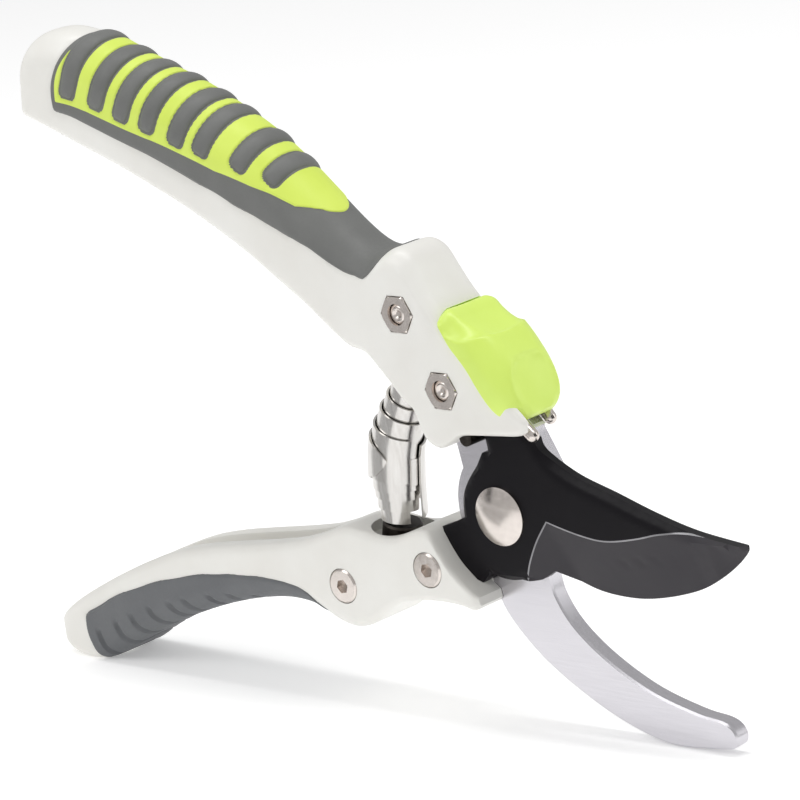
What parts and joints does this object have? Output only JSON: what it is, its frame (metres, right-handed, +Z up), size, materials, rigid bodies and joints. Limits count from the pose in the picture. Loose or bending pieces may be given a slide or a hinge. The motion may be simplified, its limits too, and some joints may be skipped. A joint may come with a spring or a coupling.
{
  "type": "pruning shears",
  "caption": "Bypass pruning shears with a curved hook plate, coated cutting blade, volute spring, soft grips and a thumb slide that latches the blades shut.",
  "frame": {"origin": "on the pivot axis, where the cutting blade meets the hook plate", "axes": "+Y along the pivot from the cutting blade to the hook plate, +X towards the blades, +Z up with the shears standing open on edge"},
  "size_m": [0.1839, 0.018, 0.1349],
  "materials": {
    "hook_steel": "satin ground steel",
    "coated_blade": "black non-stick coating on ground steel",
    "painted_casting": "warm white powder paint on die-cast aluminium",
    "grey_grip": "matt soft-touch thermoplastic rubber",
    "lime_inlay": "matt soft-touch thermoplastic rubber",
    "lime_plastic": "satin moulded plastic",
    "bright_steel": "nickel-plated steel",
    "spring_steel": "bright rolled strip",
    "dark_steel": "dark oiled steel"
  },
  "bodies": {
    "upper": {"upper_handle": "painted_casting", "hook_blade": "hook_steel", "upper_grip": "grey_grip", "upper_grip_inlay": "lime_inlay", "pivot_bolt": "bright_steel", "pivot_washer": "bright_steel", "pivot_nut": "bright_steel", "stop_pin": "dark_steel", "upper_spring_seat": "dark_steel", "volute_spring": "spring_steel", "head_bolt_front": "bright_steel", "head_bolt_rear": "bright_steel", "head_nut_front": "bright_steel", "head_nut_rear": "bright_steel"},
    "lower": {"lower_handle": "painted_casting", "cutting_blade": "coated_blade", "lower_grip": "grey_grip", "lower_spring_seat": "dark_steel", "tang_screw_front": "bright_steel", "tang_screw_rear": "bright_steel", "tang_nut_front": "bright_steel", "tang_nut_rear": "bright_steel"},
    "lock": {"lock_slide": "lime_plastic", "lock_latch": "bright_steel"}
  },
  "joints": [
    {"name": "blade_pivot", "type": "hinge", "parent": "upper", "child": "lower", "pos_m": [0, 0, 0], "axis": [0, 1, 0], "range_deg": [0, 38], "stiffness_Nm_per_rad": 0.6, "springref_deg": -20.05, "deforming": ["volute_spring"]},
    {"name": "lock_slide_travel", "type": "slide", "parent": "upper", "child": "lock", "axis": [0.7169, 0, -0.6972], "range_m": [0, 0.007]}
  ]
}
